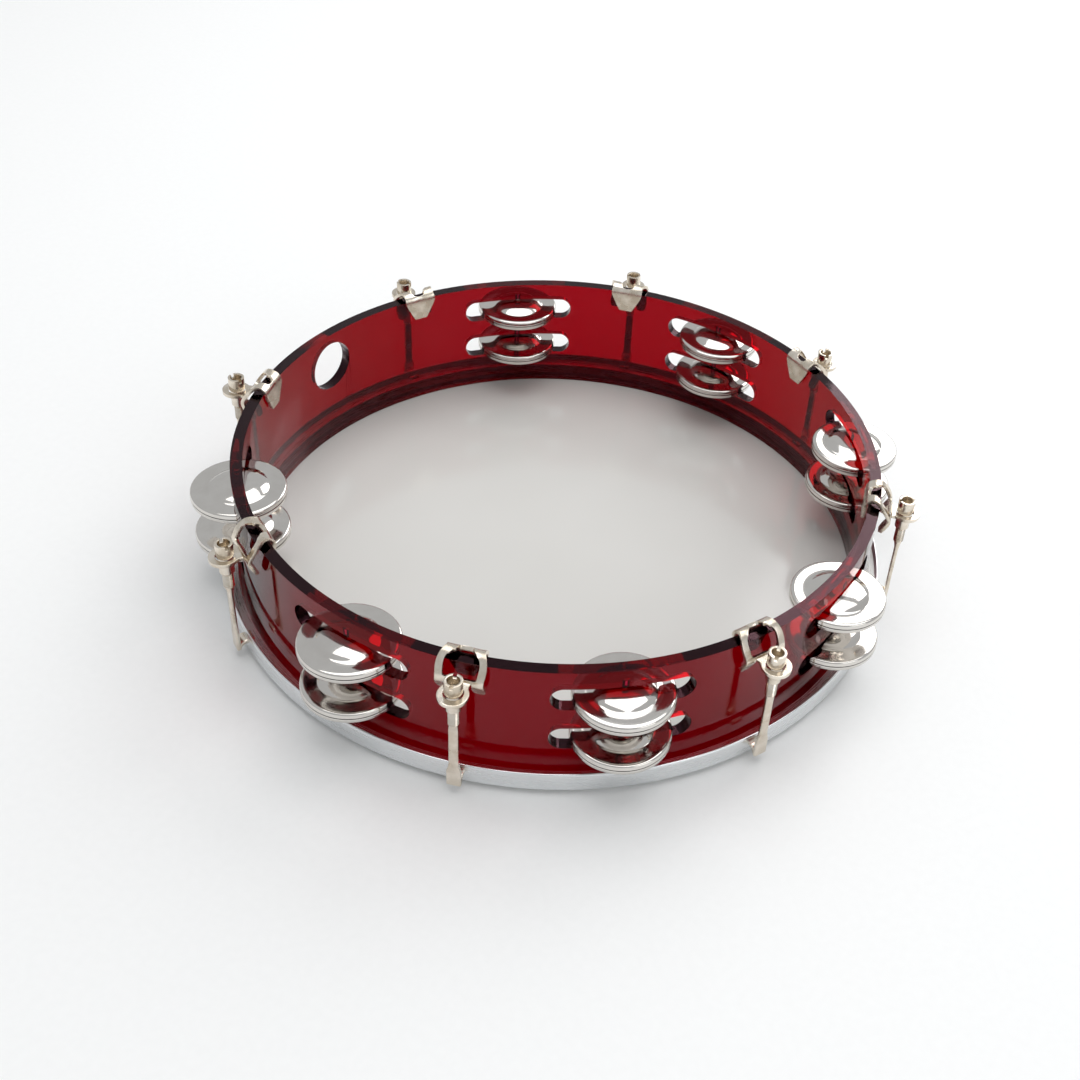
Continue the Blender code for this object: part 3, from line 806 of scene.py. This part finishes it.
# %% Mirror nickel
mirror, tree, shader = new_finish("nickel_plate_spun_mirror", Metallic=1.0)
place = add_node(tree, "ShaderNodeAttribute", {"attribute_name": "local"}).outputs["Vector"]
parts = add_node(tree, "ShaderNodeSeparateXYZ", links={0: place})
flat = add_node(tree, "ShaderNodeCombineXYZ", links={0: parts.outputs[0], 1: parts.outputs[1]})
radius = add_node(tree, "ShaderNodeVectorMath", {"operation": "LENGTH"},
                  {0: flat.outputs[0]}).outputs["Value"]
turning = add_node(tree, "ShaderNodeCombineXYZ", links={0: radius})
rings = add_node(tree, "ShaderNodeTexNoise", {"Scale": per(0.7), "Detail": 3.0},
                 {"Vector": turning.outputs[0]})
smudge = add_node(tree, "ShaderNodeTexNoise", {"Scale": per(7), "Detail": 3.0}, {"Vector": place})
colour = blend_colours(tree, smudge.outputs[0], "#e2dfda", "#cfcac4")
tree.links.new(colour, shader.inputs["Base Color"])
tree.links.new(spread(tree, rings.outputs[0], 0.3, 0.7, 0.05, 0.13), shader.inputs["Roughness"])
grooves = add_node(tree, "ShaderNodeBump", {"Strength": 0.2, "Distance": 0.02 * MM},
                   {"Height": rings.outputs[0]})
tree.links.new(grooves.outputs[0], shader.inputs["Normal"])
print("finish:", mirror.name)

# %% [markdown]
# ## Put each finish on its pieces and let each piece ride on its body
#
# The ring, film, hoop, claws and pins stay with the drum. A nut turns, its hook climbs, and each
# jingle slides on its pin.

# %% Finishes and bodies
def dress(piece, finish, body, slot, *nodes):
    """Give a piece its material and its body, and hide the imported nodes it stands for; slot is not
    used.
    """
    piece.data.materials.clear()
    piece.data.materials.append(finish)
    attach(piece, body)
    if nodes:
        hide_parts(*nodes)


dress(ring, acrylic, "drum", "ruby_acrylic", "shell")
dress(head, film_finish, "drum", "milky_film", "head_film")
dress(hoop, aluminium, "drum", "aluminium", "head_hoop")
for piece in pins.values():
    dress(piece, nickel, "drum", "nickel_plate")
for i in range(BAYS):
    dress(claws[i], nickel, "drum", "nickel_plate", f"claw_{i + 1}")
    dress(hooks[i], nickel, f"hook_rod_{i + 1}", "nickel_plate", f"hook_rod_{i + 1}")
    dress(nuts[i], nickel, f"tube_nut_{i + 1}", "nickel_plate", f"tube_nut_{i + 1}")
for node, piece in jingles.items():
    dress(piece, mirror, node, "jingle_nickel", node)
new_pieces = [ring, head, hoop, *pins.values(), *claws, *hooks, *nuts, *jingles.values()]
print("new pieces:", len(new_pieces))

# %% [markdown]
# ## Floor, light and camera
#
# A plain pale floor, one broad soft light overhead, one behind and a weaker one to the side, in a
# bright and even room that gives the mirror jingles something to show. The camera looks down about
# 38 degrees and is rolled a little, with its frame shifted as a cropped picture is.

# %% Floor
clear_selection()
bpy.ops.mesh.primitive_plane_add(size=8, location=(0, 0, -GAP))
floor = named("floor")
settle(floor)
paper, tree, shader = new_finish("seamless_paper_white", Roughness=0.85)
place = add_node(tree, "ShaderNodeTexCoord").outputs["Object"]
fibre = add_node(tree, "ShaderNodeTexNoise", {"Scale": per(3), "Detail": 3.0}, {"Vector": place})
colour = blend_colours(tree, fibre.outputs[0], "#f7f7f6", "#f3f3f2")
tree.links.new(colour, shader.inputs["Base Color"])
floor.data.materials.append(paper)

# %% Lights
def soft_light(name, azimuth, elevation, distance, size, power):
    """A square area light that faces the object."""
    data = bpy.data.lights.new(name, "AREA")
    data.size = size
    data.energy = power
    light = bpy.data.objects.new(name, data)
    bpy.context.collection.objects.link(light)
    az, el = math.radians(azimuth), math.radians(elevation)
    towards = Vector((math.cos(az) * math.cos(el), math.sin(az) * math.cos(el), math.sin(el)))
    light.location = towards * distance
    light.rotation_euler = towards.to_track_quat("Z", "Y").to_euler()


soft_light("top_light", 90, 82, 1.5, 1.4, 10)
soft_light("back_light", 88, 33, 1.6, 0.9, 8)
soft_light("side_light", -10, 30, 1.8, 0.9, 3)
world = bpy.data.worlds.new("bright_room")
world.use_nodes = True
room = world.node_tree.nodes["Background"]
room.inputs["Color"].default_value = (0.86, 0.88, 0.9, 1.0)
room.inputs["Strength"].default_value = 0.65
bpy.context.scene.world = world
bpy.context.scene.view_settings.view_transform = "Standard"

# %% Camera
VIEW_AZIMUTH = math.radians(-62.05)
VIEW_ELEVATION = math.radians(37.88)
VIEW_ROLL = math.radians(6.447)
VIEW_DISTANCE = 597.4 * MM
SIDE_STEP = 47.4 * MM
UP_STEP = 23.0 * MM
back = Vector((math.cos(VIEW_AZIMUTH) * math.cos(VIEW_ELEVATION),
               math.sin(VIEW_AZIMUTH) * math.cos(VIEW_ELEVATION), math.sin(VIEW_ELEVATION)))
level = Vector((0, 0, 1)).cross(back).normalized()
upright = back.cross(level)
right = math.cos(VIEW_ROLL) * level + math.sin(VIEW_ROLL) * upright
above = back.cross(right)
lens_data = bpy.data.cameras.new("camera")
lens_data.sensor_width = 36.0
lens_data.lens = 47.52
lens_data.shift_x = -0.1214
lens_data.shift_y = -0.048
lens_data.clip_start = 0.01
camera = bpy.data.objects.new("camera", lens_data)
bpy.context.collection.objects.link(camera)
turn = Matrix((right, above, back)).transposed().to_4x4()
centre = right * SIDE_STEP + above * UP_STEP + back * VIEW_DISTANCE + Vector((0, 0, FILM))
camera.matrix_world = Matrix.Translation(centre) @ turn
bpy.context.scene.camera = camera
